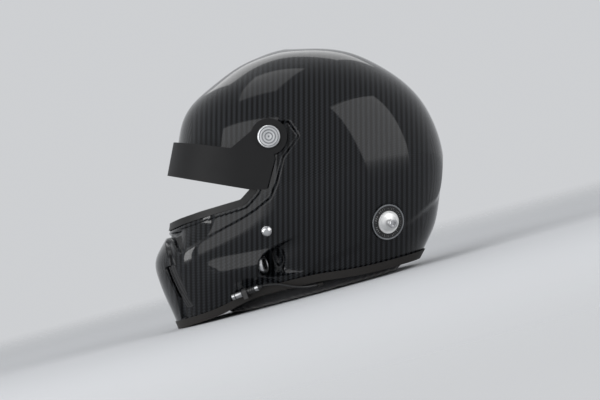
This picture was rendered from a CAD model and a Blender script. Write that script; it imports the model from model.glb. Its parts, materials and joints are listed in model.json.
"""Looks of an auto racing helmet: a clear-coated carbon shell with a short peak, its fittings, pads and radio lead."""

import json
import logging
import math
from contextlib import contextmanager
from dataclasses import dataclass, field
from enum import Enum
from typing import Iterable, Iterator, Optional, Sequence

import bmesh
import bpy
import numpy as np
from mathutils import Matrix, Vector


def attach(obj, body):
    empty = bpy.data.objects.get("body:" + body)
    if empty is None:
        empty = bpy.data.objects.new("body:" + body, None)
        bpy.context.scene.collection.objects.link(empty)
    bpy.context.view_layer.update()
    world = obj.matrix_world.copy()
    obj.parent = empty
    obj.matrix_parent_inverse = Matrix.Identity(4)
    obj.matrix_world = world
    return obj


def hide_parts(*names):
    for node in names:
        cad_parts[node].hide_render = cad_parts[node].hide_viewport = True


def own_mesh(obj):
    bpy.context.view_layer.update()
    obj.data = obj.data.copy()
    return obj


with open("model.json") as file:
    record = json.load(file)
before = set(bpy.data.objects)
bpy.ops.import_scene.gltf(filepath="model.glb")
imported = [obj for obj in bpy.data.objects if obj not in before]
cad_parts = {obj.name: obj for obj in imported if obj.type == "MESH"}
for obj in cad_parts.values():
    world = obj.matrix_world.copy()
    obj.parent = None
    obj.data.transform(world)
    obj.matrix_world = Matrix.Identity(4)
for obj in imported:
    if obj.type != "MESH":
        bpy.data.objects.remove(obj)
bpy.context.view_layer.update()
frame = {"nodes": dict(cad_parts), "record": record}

MM = 0.001
LOG = logging.getLogger("helmet")
ROOT = "helmet"
RECORD = frame["record"]
BODIES = {node: body for body, nodes in RECORD["behaviour"]["bodies"].items() for node in nodes}
ANCHOR_MOUNTS = ("head_restraint_left", "head_restraint_right")
FAR = 50.0  # a distance in mm that is near nothing
WEAR_SIZE_MM = 38.0  # the size of the clouds in which a finish's colour and roughness wander
CLOTH_FRAMES = 20
SHARP_DEG = 32.0  # an edge of a CAD piece that is sharper than this is broken
TURNED_SHARP_DEG = 28.0  # an edge of a turned piece that is sharper than this is marked sharp
WOVEN_SHARP_DEG = 50.0  # the same for webbing
Array = np.ndarray
Point = tuple[float, float, float]
Tree = bpy.types.NodeTree
Socket = bpy.types.NodeSocket


def linear(code: str) -> tuple[float, float, float, float]:
    """Turns an sRGB hex colour into linear light.

    Args:
        code: six hex digits.

    Returns:
        Linear red, green and blue, and an alpha of 1.
    """
    parts = [int(code[i : i + 2], 16) / 255 for i in (0, 2, 4)]
    light = [c / 12.92 if c <= 0.04045 else ((c + 0.055) / 1.055) ** 2.4 for c in parts]
    return light[0], light[1], light[2], 1.0


def add_node(tree: bpy.types.NodeTree, kind: str, inputs: Optional[dict] = None, **settings) -> bpy.types.Node:
    """Adds one node, sets its properties, and fills or links its sockets.

    Args:
        tree: the node tree to add to.
        kind: the node's type name.
        inputs: a value or an output socket for each input, by name or number.
        **settings: the node's own properties.

    Returns:
        The new node.
    """
    node = tree.nodes.new(kind)
    for key, value in settings.items():
        setattr(node, key, value)
    for key, value in (inputs or {}).items():
        if isinstance(value, bpy.types.NodeSocket):
            tree.links.new(value, node.inputs[key])
        else:
            node.inputs[key].default_value = value
    return node


def maths(tree: Tree, operation: str, *values) -> Socket:
    """The result of a Math node on numbers or sockets."""
    return add_node(tree, "ShaderNodeMath", dict(enumerate(values)), operation=operation).outputs["Value"]


def vectors(tree: Tree, operation: str, *values) -> Socket:
    """The result of a Vector Math node: a number for a dot product or a length, and else a vector."""
    node = add_node(tree, "ShaderNodeVectorMath", dict(enumerate(values)), operation=operation)
    return node.outputs["Value" if operation in ("DOT_PRODUCT", "LENGTH") else "Vector"]


def mixed(tree: Tree, kind: str, factor: Socket, first, second) -> Socket:
    """A mix of two colours, vectors or numbers."""
    node = add_node(tree, "ShaderNodeMix", {"Factor": factor, "A": first, "B": second}, data_type=kind)
    return node.outputs["Result"]


def mapped(tree: Tree, value: Socket, start: Sequence[float], end: Sequence[float], **settings) -> Socket:
    """A value taken from one range to another, and held at its ends."""
    ends = {"Value": value, "From Min": start[0], "From Max": start[1], "To Min": end[0], "To Max": end[1]}
    return add_node(tree, "ShaderNodeMapRange", ends, **settings).outputs["Result"]


class Pattern(Enum):
    """How a finish's surface is broken up."""

    PLAIN = "plain"
    GRAIN = "grain"
    BEADS = "beads"
    KNIT = "knit"
    WEBBING = "webbing"
    TWILL = "twill"


@dataclass(frozen=True)
class Finish:
    """One surface finish.

    Args:
        name: the material's name, after the real material.
        colour: the main colour, as sRGB hex.
        accent: the second colour of its pattern, as sRGB hex.
        roughness: the surface's roughness.
        pattern: how the surface is broken up.
        size_mm: the pattern's real size.
        relief_mm: how deep the pattern stands.
        metallic: 1 for a bare metal.
        ior: the index of refraction.
        coat: the weight of a clear coat.
        sheen: the weight of a fabric's sheen.
        wear: how far the colour and the roughness wander from place to place.
    """

    name: str
    colour: str
    accent: str
    roughness: float
    pattern: Pattern = Pattern.PLAIN
    size_mm: float = 1.0
    relief_mm: float = 0.05
    metallic: float = 0.0
    ior: float = 1.5
    coat: float = 0.0
    sheen: float = 0.0
    wear: float = 0.14

    def material(self) -> bpy.types.Material:
        """Builds the finish's material, or returns it if it is built already."""
        made = bpy.data.materials.get(self.name)
        if made:
            return made
        made = bpy.data.materials.new(self.name)
        made.use_nodes = True
        tree = made.node_tree
        shader = tree.nodes["Principled BSDF"]
        values = {"Metallic": self.metallic, "IOR": self.ior, "Roughness": self.roughness,
                  "Coat Weight": self.coat, "Coat Roughness": 0.05, "Coat IOR": 1.3, "Sheen Weight": self.sheen,
                  "Sheen Roughness": 0.5}
        for socket, value in values.items():
            shader.inputs[socket].default_value = value
        place = add_node(tree, "ShaderNodeTexCoord").outputs["Object"]
        mask, height = getattr(self, f"_{self.pattern.value}")(tree, place)
        cloud = self._noise(tree, place, WEAR_SIZE_MM, 4.0)
        low, high = 1 - self.wear, 1 + self.wear
        tone = mixed(tree, "RGBA", mask, linear(self.colour), linear(self.accent))
        varied = vectors(tree, "MULTIPLY", tone, mapped(tree, cloud, (0, 1), (low, high)))
        tree.links.new(varied, shader.inputs["Base Color"])
        rough = mapped(tree, cloud, (0, 1), (self.roughness * low, min(1.0, self.roughness * high)))
        tree.links.new(rough, shader.inputs["Roughness"])
        if height is not None:
            bump = add_node(tree, "ShaderNodeBump", {"Height": height, "Distance": self.relief_mm * MM})
            tree.links.new(bump.outputs["Normal"], shader.inputs["Normal"])
        return made

    @staticmethod
    def _noise(tree: Tree, place: Socket, size_mm: float, detail: float, roughness: float = 0.5) -> Socket:
        """Cloudy noise of a real size."""
        return add_node(tree, "ShaderNodeTexNoise", {"Vector": place, "Scale": 1 / (size_mm * MM), "Detail": detail,
                                                     "Roughness": roughness}).outputs["Fac"]

    def _plain(self, tree: Tree, place: Socket) -> tuple:
        """A smooth surface with faint clouding."""
        return self._noise(tree, place, self.size_mm, 3.0), None

    def _grain(self, tree: Tree, place: Socket) -> tuple:
        """The fine pebbled grain of moulded plastic or rubber."""
        noise = self._noise(tree, place, self.size_mm, 5.0, 0.65)
        return noise, noise

    def _beads(self, tree: Tree, place: Socket) -> tuple:
        """The pressed beads of moulded foam."""
        cells = add_node(tree, "ShaderNodeTexVoronoi", {"Vector": place, "Scale": 1 / (self.size_mm * MM)},
                         feature="DISTANCE_TO_EDGE")
        edge = mapped(tree, cells.outputs["Distance"], (0, 0.22), (0, 1))
        return edge, edge

    def _knit(self, tree: Tree, place: Socket) -> tuple:
        """The loops of a knitted lining, drawn a little coarser than real so that they show."""
        cells = add_node(tree, "ShaderNodeTexVoronoi", {"Vector": place, "Scale": 1 / (self.size_mm * MM),
                                                        "Randomness": 0.35}, feature="SMOOTH_F1")
        return cells.outputs["Distance"], cells.outputs["Distance"]

    def _webbing(self, tree: Tree, place: Socket) -> tuple:
        """The herringbone ribs of woven webbing, along the strap's own map."""
        own = add_node(tree, "ShaderNodeUVMap").outputs["UV"]
        ribs, picks = (add_node(tree, "ShaderNodeTexWave", {"Vector": own, "Distortion": 0.0,
                                                            "Scale": math.pi / (pitch * self.size_mm * MM)},
                                wave_type="BANDS", bands_direction=way).outputs["Fac"]
                       for pitch, way in ((10, "X"), (7, "DIAGONAL")))
        both = maths(tree, "MULTIPLY", ribs, picks)
        return both, both

    def _twill(self, tree: Tree, place: Socket) -> tuple:
        """A 2x2 carbon twill laid on the bias, so that its wales run up and down the tilted helmet.

        The cloth wraps round a line along the helmet, and on the face it is laid flat from the front.
        """
        wrap_height, wrap_radius, face_share = 0.11, 0.125, 0.84
        tilt = math.radians(Studio.tilt_deg)
        across = (math.cos(tilt), 0.0, -math.sin(tilt))
        upward = (math.sin(tilt), 0.0, math.cos(tilt))
        level = vectors(tree, "DOT_PRODUCT", place, upward)
        sideways = add_node(tree, "ShaderNodeSeparateXYZ", {0: place}).outputs["Y"]
        angle = maths(tree, "ARCTAN2", sideways, maths(tree, "SUBTRACT", level, wrap_height))
        on_side = add_node(tree, "ShaderNodeCombineXYZ", {0: vectors(tree, "DOT_PRODUCT", place, across),
                                                          2: maths(tree, "MULTIPLY", angle, wrap_radius)})
        on_front = add_node(tree, "ShaderNodeCombineXYZ", {0: sideways, 2: level})
        normal = add_node(tree, "ShaderNodeTexCoord").outputs["Normal"]
        facing = maths(tree, "ABSOLUTE", vectors(tree, "DOT_PRODUCT", normal, across))
        chosen = mixed(tree, "VECTOR", maths(tree, "GREATER_THAN", facing, face_share), on_side.outputs["Vector"],
                       on_front.outputs["Vector"])
        tow = 1 / (self.size_mm * MM)
        laid = add_node(tree, "ShaderNodeMapping", {"Vector": chosen, "Scale": (tow, tow, tow),
                                                    "Rotation": (0.0, math.radians(45), 0.0)}).outputs["Vector"]
        step = vectors(tree, "DOT_PRODUCT", vectors(tree, "FLOOR", laid), (1.0, 0.0, -1.0))
        over = maths(tree, "LESS_THAN", maths(tree, "FLOORED_MODULO", step, 4.0), 1.5)
        centred = vectors(tree, "SUBTRACT", vectors(tree, "FRACTION", laid), (0.5, 0.5, 0.5))
        parts = add_node(tree, "ShaderNodeSeparateXYZ", {0: vectors(tree, "MULTIPLY", centred, centred)}).outputs
        crown = mixed(tree, "FLOAT", over, parts["X"], parts["Z"])
        lit = maths(tree, "MULTIPLY", over, mapped(tree, crown, (0, 0.25), (1.0, 0.35)))
        return lit, maths(tree, "SUBTRACT", 1.0, crown)


# Woven carbon under polished lacquer: near-black tows, the lengthwise ones a little lighter, mirror-like highlights
CARBON = Finish("Carbon twill, clear coated", "030304", "232528", 0.5, Pattern.TWILL, size_mm=2.0, relief_mm=0.1,
                ior=1.1, coat=0.95)
# The shell's rough inner face of wet-laid glass and aramid, dull and dark
LAMINATE = Finish("Laminate, bare", "1A1A19", "2B2A28", 0.75, Pattern.GRAIN, size_mm=1.6, relief_mm=0.2)
# Extruded rubber channel: grey-brown, dull, faintly dusty
RUBBER = Finish("EPDM rubber, extruded", "1D1B1A", "292725", 0.6, Pattern.GRAIN, size_mm=0.7, relief_mm=0.05, ior=1.35)
# The eye port's softer profile: plain black
SOFT_RUBBER = Finish("Silicone rubber, black", "0B0B0B", "131313", 0.5, Pattern.GRAIN, size_mm=0.6, relief_mm=0.03,
                     ior=1.35)
# Moulded ABS with a spark-eroded matt texture
PEAK_ABS = Finish("ABS, matt grained", "0D0D0E", "151516", 0.62, Pattern.GRAIN, size_mm=0.45, relief_mm=0.04, ior=1.3)
# Gloss moulded polycarbonate of the vent grilles
GLOSS_BLACK = Finish("Polycarbonate, gloss black", "0A0A0B", "121214", 0.18, size_mm=20, ior=1.58)
MATT_BLACK = Finish("Nylon, matt black", "111112", "1A1A1B", 0.55, Pattern.GRAIN, size_mm=0.5, relief_mm=0.03)
NYLON = Finish("Nylon, natural", "C9C4B4", "BDB7A6", 0.45, size_mm=6)
# Lathe-turned aluminium, clear anodised: pale silver with fine rings
ALUMINIUM = Finish("Aluminium, turned and anodised", "D9DADB", "B9BABC", 0.3, size_mm=6, metallic=1.0)
GREY_ALUMINIUM = Finish("Aluminium, turned, in its grooves", "8E9092", "7D7F82", 0.35, size_mm=6, metallic=1.0)
SATIN_STEEL = Finish("Steel, satin nickel plated", "A9AAAB", "98999B", 0.3, size_mm=6, metallic=1.0)
BLASTED = Finish("Aluminium, bead blasted", "E4E4E3", "CFCFCE", 0.48, Pattern.GRAIN, size_mm=0.35, relief_mm=0.02,
                 metallic=1.0)
POLISHED = Finish("Steel, polished", "C9C9CA", "B4B4B6", 0.16, size_mm=8, metallic=1.0)
ZINC = Finish("Steel, zinc plated", "B9B9B4", "A3A39B", 0.38, size_mm=4, metallic=1.0)
BLACK_ANODISED = Finish("Aluminium, black anodised", "0C0C0D", "161617", 0.4, Pattern.GRAIN, size_mm=0.4,
                        relief_mm=0.015)
TICK_WHITE = Finish("Ink, white", "E8E8E6", "DADAD8", 0.5, size_mm=3)
# Expanded polystyrene, black: pressed beads of about 3 mm
BEAD_FOAM = Finish("Expanded polystyrene, black", "0F0F10", "1F1F20", 0.8, Pattern.BEADS, size_mm=3.4, relief_mm=0.25)
# Flame-resistant knit over foam: soft, dark, with sheen at glancing angles
LINING = Finish("Aramid knit, black", "121214", "232326", 0.9, Pattern.KNIT, size_mm=1.3, relief_mm=0.35, sheen=0.35)
ROLL_KNIT = Finish("Polyester knit, black", "141416", "28282B", 0.88, Pattern.KNIT, size_mm=1.5, relief_mm=0.4,
                   sheen=0.4)
OPEN_FOAM = Finish("Polyurethane foam, open cell", "161617", "262627", 0.95, Pattern.BEADS, size_mm=1.1,
                   relief_mm=0.35)
WEBBING = Finish("Polyester webbing, black", "0B0B0C", "252527", 0.75, Pattern.WEBBING, size_mm=1.4, relief_mm=0.3,
                 sheen=0.25)
# Lead jacket, glossy flexible PVC
JACKET = Finish("PVC, black", "121213", "1D1D1E", 0.35, size_mm=3)
MOULDED = Finish("Thermoplastic elastomer, moulded", "151516", "202022", 0.4, Pattern.GRAIN, size_mm=0.6,
                 relief_mm=0.03)
FLOOR_PAINT = Finish("Emulsion paint, pale", "D8DADD", "D6D8DB", 0.9, size_mm=400, wear=0.01)


def mount_line(name: str) -> tuple[Array, Array]:
    """A mount's place, in millimetres, and its axis."""
    mount = next(m for m in RECORD["mounts"] if m["name"] == name)
    return np.array(mount["pos_m"]) / MM, np.array(mount["axis"])


def placed(name: str, data: bpy.types.ID) -> bpy.types.Object:
    """Adds an object to the scene."""
    piece = bpy.data.objects.new(name, data)
    bpy.context.scene.collection.objects.link(piece)
    return piece


def finished(mesh: bpy.types.Mesh, name: str, finishes: Sequence[Finish], *nodes: str,
             near: str = "outer_shell") -> bpy.types.Object:
    """Makes a finished piece of a mesh: gives it its materials, its body and the nodes it stands for.

    Args:
        mesh: the piece's mesh, in metres and in place.
        name: the piece's name.
        finishes: one finish for each material index of its faces.
        *nodes: the CAD nodes that the piece stands for.
        near: where it stands for none, the node whose body and slot it takes.

    Returns:
        The piece's object.
    """
    piece = placed(name, mesh)
    numbers = np.zeros(len(mesh.polygons), np.int32)
    mesh.polygons.foreach_get("material_index", numbers)
    mesh.materials.clear()
    for finish in finishes:
        mesh.materials.append(finish.material())
    mesh.polygons.foreach_set("material_index", np.minimum(numbers, len(finishes) - 1))
    lead = nodes[0] if nodes else near
    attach(piece, BODIES[lead])
    if nodes:
        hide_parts(*nodes)
    LOG.info("%s: %d faces on %s", name, len(mesh.polygons), BODIES[lead])
    return piece


def mesh_of(name: str, points: Iterable, faces: Sequence[Sequence[int]]) -> bpy.types.Mesh:
    """A smooth mesh from points in millimetres and faces."""
    mesh = bpy.data.meshes.new(name)
    mesh.from_pydata([tuple(float(c) * MM for c in p) for p in points], [], [list(map(int, f)) for f in faces])
    mesh.validate()
    mesh.shade_smooth()
    return mesh


@contextmanager
def reworked(mesh: bpy.types.Mesh) -> Iterator[bmesh.types.BMesh]:
    """Opens a mesh for editing, and writes it back."""
    work = bmesh.new()
    work.from_mesh(mesh)
    yield work
    work.to_mesh(mesh)
    work.free()


def shade(work: bmesh.types.BMesh, angle_deg: float) -> None:
    """Shades all faces smooth, but marks the edges that are sharper than an angle."""
    for edge in work.edges:
        edge.smooth = edge.calc_face_angle(0.0) < math.radians(angle_deg)
    for face in work.faces:
        face.smooth = True


def outward(mesh: bpy.types.Mesh, angle_deg: float) -> None:
    """Turns a closed mesh's faces outwards, and marks its edges sharper than an angle."""
    with reworked(mesh) as work:
        bmesh.ops.recalc_face_normals(work, faces=work.faces)
        shade(work, angle_deg)


def vertex_arrays(mesh: bpy.types.Mesh) -> tuple[Array, Array]:
    """A mesh's points and their normals."""
    points, normals = np.zeros((2, len(mesh.vertices) * 3), np.float32)
    mesh.vertices.foreach_get("co", points)
    mesh.vertices.foreach_get("normal", normals)
    return points.reshape(-1, 3).astype(float), normals.reshape(-1, 3).astype(float)


def move_points(mesh: bpy.types.Mesh, points: Array) -> None:
    """Moves a mesh's points to places in metres."""
    mesh.vertices.foreach_set("co", points.astype(np.float32).ravel())
    mesh.update()


def evaluated_mesh(piece: bpy.types.Object) -> bpy.types.Mesh:
    """A plain mesh of an object as its modifiers leave it."""
    return bpy.data.meshes.new_from_object(piece.evaluated_get(bpy.context.evaluated_depsgraph_get()))


def smoothstep(value: Array) -> Array:
    """A smooth step from 0 to 1 over a value of 0 to 1."""
    value = np.clip(value, 0.0, 1.0)
    return value * value * (3 - 2 * value)


def ramp(place: Array, start: float, run: float) -> Array:
    """A smooth step from 0 at a start to 1 after a run, which is negative towards lower places."""
    return smoothstep((place - start) / run)


def off_axis(place: Array, centre: Array, axis: Array) -> tuple[Array, Array]:
    """How far points are along an axis from its centre, and how far out from it."""
    away = place - centre
    along = away @ axis
    return along, np.linalg.norm(away - along[:, None] * axis, axis=1)


def bend(before: Array, at: Array, after: Array, radius: float, steps: Optional[int] = None,
         side_share: float = math.inf) -> list[Array]:
    """Points of the bend that takes a corner's place.

    Args:
        before: the corner before it.
        at: the corner.
        after: the corner after it.
        radius: the bend's radius.
        steps: how many points it has; where none is given, fewer at a nearly straight corner.
        side_share: the most that it takes of either side.

    Returns:
        The points, along the way.
    """
    into, out = before - at, after - at
    sides = np.linalg.norm(into), np.linalg.norm(out)
    into, out = into / sides[0], out / sides[1]
    half = math.acos(float(np.clip(into @ out, -1, 1))) / 2
    reach = min(radius / math.tan(half), side_share * min(sides))
    start, end = at + into * reach, at + out * reach
    steps = steps or (7 if half < 1.5 else 3)
    return [(1 - t) ** 2 * start + 2 * t * (1 - t) * at + t * t * end for t in np.linspace(0, 1, steps)]


class Curve:
    """A natural cubic through values at rising places."""

    def __init__(self, places: Sequence[float], values: Sequence) -> None:
        """Solves the cubic's second derivatives.

        Args:
            places: rising places.
            values: one value or row of values at each place.
        """
        self.places = np.asarray(places, float)
        self.values = np.asarray(values, float).reshape(len(self.places), -1)
        count, step = len(self.places), np.diff(self.places)
        matrix, right = np.eye(count), np.zeros_like(self.values)
        for i in range(1, count - 1):
            matrix[i, i - 1 : i + 2] = step[i - 1], 2 * (step[i - 1] + step[i]), step[i]
            rise = np.diff(self.values, axis=0)
            right[i] = 6 * (rise[i] / step[i] - rise[i - 1] / step[i - 1])
        self.bend = np.linalg.solve(matrix, right)

    def at(self, where: Array) -> Array:
        """The curve's values at places, one row each; past its ends it keeps the end's."""
        where = np.clip(np.asarray(where, float), self.places[0], self.places[-1])
        i = np.clip(np.searchsorted(self.places, where) - 1, 0, len(self.places) - 2)
        step = (self.places[i + 1] - self.places[i])[..., None]
        left = (where - self.places[i])[..., None]
        right = step - left
        return ((self.bend[i] * right**3 + self.bend[i + 1] * left**3) / (6 * step)
                + (self.values[i] / step - self.bend[i] * step / 6) * right
                + (self.values[i + 1] / step - self.bend[i + 1] * step / 6) * left)


class Outline:
    """A closed outline with rounded corners, and how far points are from it."""

    def __init__(self, shares: Sequence[tuple[float, float]], scale: tuple[float, float], corner: float) -> None:
        """Rounds the corners.

        Args:
            shares: the corners, as shares of scale.
            scale: the two lengths that the shares follow, in millimetres.
            corner: the corners' radius, in millimetres.
        """
        corners = np.asarray(shares, float) * scale
        trios = zip(np.roll(corners, 1, 0), corners, np.roll(corners, -1, 0))
        self.points = np.array([p for before, at, after in trios for p in bend(before, at, after, corner)])

    def distance(self, x: Array, z: Array) -> Array:
        """Distances from the outline, negative inside it."""
        where = np.stack([x, z], -1)
        best = np.full(len(where), 1e9)
        inside = np.zeros(len(where), bool)
        for a, b in zip(self.points, np.roll(self.points, -1, 0)):
            along = b - a
            if along @ along < 1e-12:
                continue
            t = np.clip(((where - a) @ along) / (along @ along), 0, 1)
            best = np.minimum(best, np.linalg.norm(where - a - t[:, None] * along, axis=1))
            crosses = (a[1] > where[:, 1]) != (b[1] > where[:, 1])
            if a[1] != b[1]:
                inside ^= crosses & (where[:, 0] < (b[0] - a[0]) * (where[:, 1] - a[1]) / (b[1] - a[1]) + a[0])
        return np.where(inside, -best, best)


@dataclass
class ShellForm:
    """The helmet's outer form, as horizontal rings, and the places of its fittings. Sizes are in millimetres."""

    length: float = 348.0
    width: float = 250.0
    height: float = 274.0
    middle_share: float = 0.115
    rear_power: float = 2.25
    ring_shares: tuple = (
        (-0.131, 0.940, 0.480, 0.640, 2.35), (-0.044, 0.948, 0.598, 0.732, 2.35), (0.044, 0.957, 0.701, 0.812, 2.35),
        (0.131, 0.980, 0.819, 0.884, 2.35), (0.219, 0.996, 0.897, 0.928, 2.35), (0.307, 0.973, 0.954, 0.962, 2.35),
        (0.394, 0.853, 0.991, 0.986, 2.30), (0.482, 0.807, 1.000, 1.000, 2.25), (0.569, 0.753, 0.985, 0.995, 2.22),
        (0.657, 0.695, 0.945, 0.968, 2.20), (0.745, 0.640, 0.867, 0.910, 2.18), (0.8175, 0.583, 0.770, 0.828, 2.14),
        (0.876, 0.494, 0.670, 0.720, 2.10), (0.923, 0.356, 0.563, 0.584, 2.05), (0.960, 0.221, 0.425, 0.432, 2.00),
        (0.9855, 0.089, 0.270, 0.256, 2.00), (0.9985, -0.046, 0.190, 0.088, 2.00),
    )

    def __post_init__(self) -> None:
        """Runs a cubic through the rings, by the length along their profile."""
        self.middle = self.middle_share * self.length / 2
        rows = np.array([(z * self.height, -f * self.length / 2, r * self.length / 2, w * self.width / 2, p)
                         for z, f, r, w, p in self.ring_shares])
        spread = np.stack([rows[:, 0], (rows[:, 2] - rows[:, 1]) / 2, rows[:, 3]], 1)
        run = np.concatenate([[0], np.cumsum(np.linalg.norm(np.diff(spread, axis=0), axis=1))])
        self.rows = Curve(run / run[-1], rows)
        self.profile_length = float(run[-1])
        fine = np.linspace(0, 1, 2001)
        self._fine, self._heights = fine, self.rows.at(fine)[:, 0]

    def level(self, z: Array) -> Array:
        """The profile's parameter at heights."""
        return np.interp(z, self._heights, self._fine)

    def point(self, level: Array, turn: Array) -> Array:
        """Points of the form at profile parameters and turns; turn 0 is the rear and a turn of pi the face."""
        z, front, rear, wide, power = np.moveaxis(self.rows.at(level), -1, 0)
        c, s = np.cos(turn), np.sin(turn)
        power = np.where(c > 0, np.minimum(power, self.rear_power), power)
        reach = np.where(c > 0, rear, front) - self.middle
        x = self.middle + reach * np.abs(c) ** (2 / power)
        return np.stack([x, -wide * np.sign(s) * np.abs(s) ** (2 / power), z], -1)

    def normal(self, level: Array, turn: Array) -> Array:
        """Outward unit normals of the form."""
        step = 0.002
        around = self.point(level, turn + step) - self.point(level, turn - step)
        up = self.point(np.minimum(level + step, 1), turn) - self.point(level - step, turn)
        out = np.cross(up, around)
        return out / np.linalg.norm(out, axis=-1, keepdims=True)

    def face_x(self, y: Array, z: Array) -> Array:
        """The X of the form's face side at places across and up."""
        _, front, _, wide, power = np.moveaxis(self.rows.at(self.level(z)), -1, 0)
        s = np.clip(np.abs(y) / wide, 0, 1) ** (power / 2)
        return self.middle + (front - self.middle) * np.sqrt(1 - s * s) ** (2 / power)

    def surface(self, x: float, z: float, side: int) -> tuple[Vector, Vector]:
        """The point and outward normal of the form at (x, z) on one side; side -1 is the wearer's left.

        Args:
            x: the place along the helmet.
            z: the height.
            side: -1 or 1.

        Returns:
            The point and the unit normal.
        """
        level = np.array([float(self.level(z))])
        turns = np.linspace(0, math.pi, 4001)
        xs = self.point(np.repeat(level, len(turns)), turns)[:, 0]
        turn = np.array([np.interp(-x, -xs, turns)])
        turn = turn if side < 0 else 2 * math.pi - turn
        return Vector(self.point(level, turn)[0]), Vector(self.normal(level, turn)[0])


FORM = ShellForm()


@dataclass
class OuterShell:
    """The carbon shell with its eye port, visor recess, chin channels, scoop and fitting seats.

    Sizes are in millimetres. A ramp is the place where a form starts to grow and the run that it takes, negative
    towards lower places. The shares are an outline's corners, as shares of the half length and the height.
    """

    # The grid: coarse cells, how many times they are divided near a line, and how many cells count as near
    columns: int = 216
    rows: int = 84
    fine: int = 4
    near_cells: float = 1.15
    hollow_cells: float = 1.6
    normal_step: float = 0.35
    # The walls, and how far the lower edge stands over the base line
    wall: float = 5.2
    least_wall: float = 2.4
    base_floor: float = 1.6
    crown_drop: float = 0.05
    # The lip round the eye port
    eye_corner: float = 9.0
    lip_width: float = 9.0
    lip_edge: float = 1.0
    lip_depth: float = 0.8
    # The visor recess, which is deeper at the face and has a softer wall low at the rear
    recess_corner: float = 5.0
    recess_depth: float = 3.0
    recess_wall: float = 4.2
    recess_foot: float = 0.3
    deeper_share: float = 0.9
    deeper_ramp: tuple = (-128.0, -14.0)
    softer_wall: float = 1.0
    softer_ramps: tuple = ((-60.0, 20.0), (150.0, -30.0))
    # The channels of the chin vents and the windows in their floor
    channel_corner: float = 3.0
    channel_depth: float = 4.2
    channel_wall: float = 2.6
    window_middle: tuple = (58.8, 46.2)
    window_half: tuple = (6.4, 25.6)
    window_corner: float = 3.0
    window_rear: float = -90.0
    # The crease under the rear of the flank
    crease_depth: float = 2.6
    crease_wall: float = 9.0
    crease_fade: float = 20.0
    crease_ramp: tuple = (-20.0, 30.0)
    # The blister on the left cheek
    blister_rise: float = 5.2
    blister_half: float = 19.0
    blister_slope: float = -0.07
    blister_middle: tuple = (-70.0, 47.5)
    blister_ramps: tuple = ((-124.0, 34.0), (-38.0, 40.0))
    # Where the blister's and the crease's fine cells end
    blister_rear: float = -20.0
    crease_front: float = -25.0
    # The anchors' flat pads and seats, and what stands on a seat: disc, washer, post's foot, neck and half its head
    pad_radius: float = 31.0
    pad_blend: float = 8.0
    pad_rise: float = 1.3
    pad_wall: float = 0.6
    seat_wall_share: float = 0.4
    seat_radius: float = 21.0
    seat_gap: float = 1.2
    seat_edge: float = 2.4
    anchor_stack: tuple = (1.6, 1.5, 2.6, 4.0, 2.25)
    anchor_reach: float = 40.0
    # The scoop of the drink coupling
    scoop_front: float = 15.0
    scoop_rear: float = 22.6
    scoop_length: float = 66.0
    scoop_turn_deg: float = 22.0
    scoop_ramps: tuple = ((0.0, 1.5), (10.0, 54.0))
    scoop_edge: float = 2.4
    scoop_fine: tuple = (-8.0, 62.0)
    scoop_seat: Point = (-60.82, -94.68, 47.05)
    eye_shares: tuple = (
        (-1.35, 0.371), (-0.741, 0.428), (-0.598, 0.434), (-0.333, 0.438), (-0.236, 0.478), (-0.236, 0.566),
        (-0.299, 0.599), (-0.678, 0.683), (-1.35, 0.832),
    )
    recess_shares: tuple = (
        (-1.35, 0.371), (-0.845, 0.371), (-0.814, 0.292), (-0.644, 0.321), (-0.517, 0.341), (-0.368, 0.363),
        (-0.257, 0.383), (-0.146, 0.414), (-0.083, 0.465), (-0.004, 0.558), (0.134, 0.629), (0.091, 0.704),
        (-0.046, 0.722), (-0.138, 0.690), (-0.230, 0.648), (-0.322, 0.630), (-0.678, 0.719), (-1.35, 0.868),
    )
    channel_shares: tuple = (
        (-0.823, 0.030), (-0.828, 0.165), (-0.826, 0.238), (-0.812, 0.300), (-0.850, 0.372), (-0.886, 0.362),
        (-0.884, 0.272), (-0.912, 0.030),
    )
    base_shares: tuple = (
        (-1.02, -0.002), (-0.833, 0.007), (-0.638, 0.020), (-0.443, 0.047), (-0.224, 0.053), (0.0, 0.049),
        (0.230, 0.033), (0.466, 0.026), (0.750, 0.025),
    )
    crease_points: tuple = ((-12.0, 30.0), (21.0, 38.0), (60.0, 44.0), (92.0, 50.0), (120.8, 56.1), (132.7, 61.1),
                            (145.9, 66.9), (157.6, 75.5), (166.0, 94.0), (172.0, 112.0))

    def __post_init__(self) -> None:
        """Lays out the outlines, the fittings' axes and the grid."""
        scale = (FORM.length / 2, FORM.height)
        self.eye = Outline(self.eye_shares, scale, self.eye_corner)
        self.recess = Outline(self.recess_shares, scale, self.recess_corner)
        self.channel = Outline(self.channel_shares, scale, self.channel_corner)
        self.base = Curve(*(np.array(self.base_shares) * scale).T)
        self.crease = Curve(*np.array(self.crease_points).T)
        self.anchors = [mount_line(name) for name in ANCHOR_MOUNTS]
        turn = math.radians(self.scoop_turn_deg)
        self.port_axis = np.array([math.cos(turn), -math.sin(turn), 0.0])
        self.port_seat = np.array(self.scoop_seat)
        self.wide, self.tall = self.columns * self.fine, self.rows * self.fine
        self.turns = 2 * math.pi * (np.arange(self.wide) + 0.5) / self.wide
        self.lowest = self._base_levels()

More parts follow.
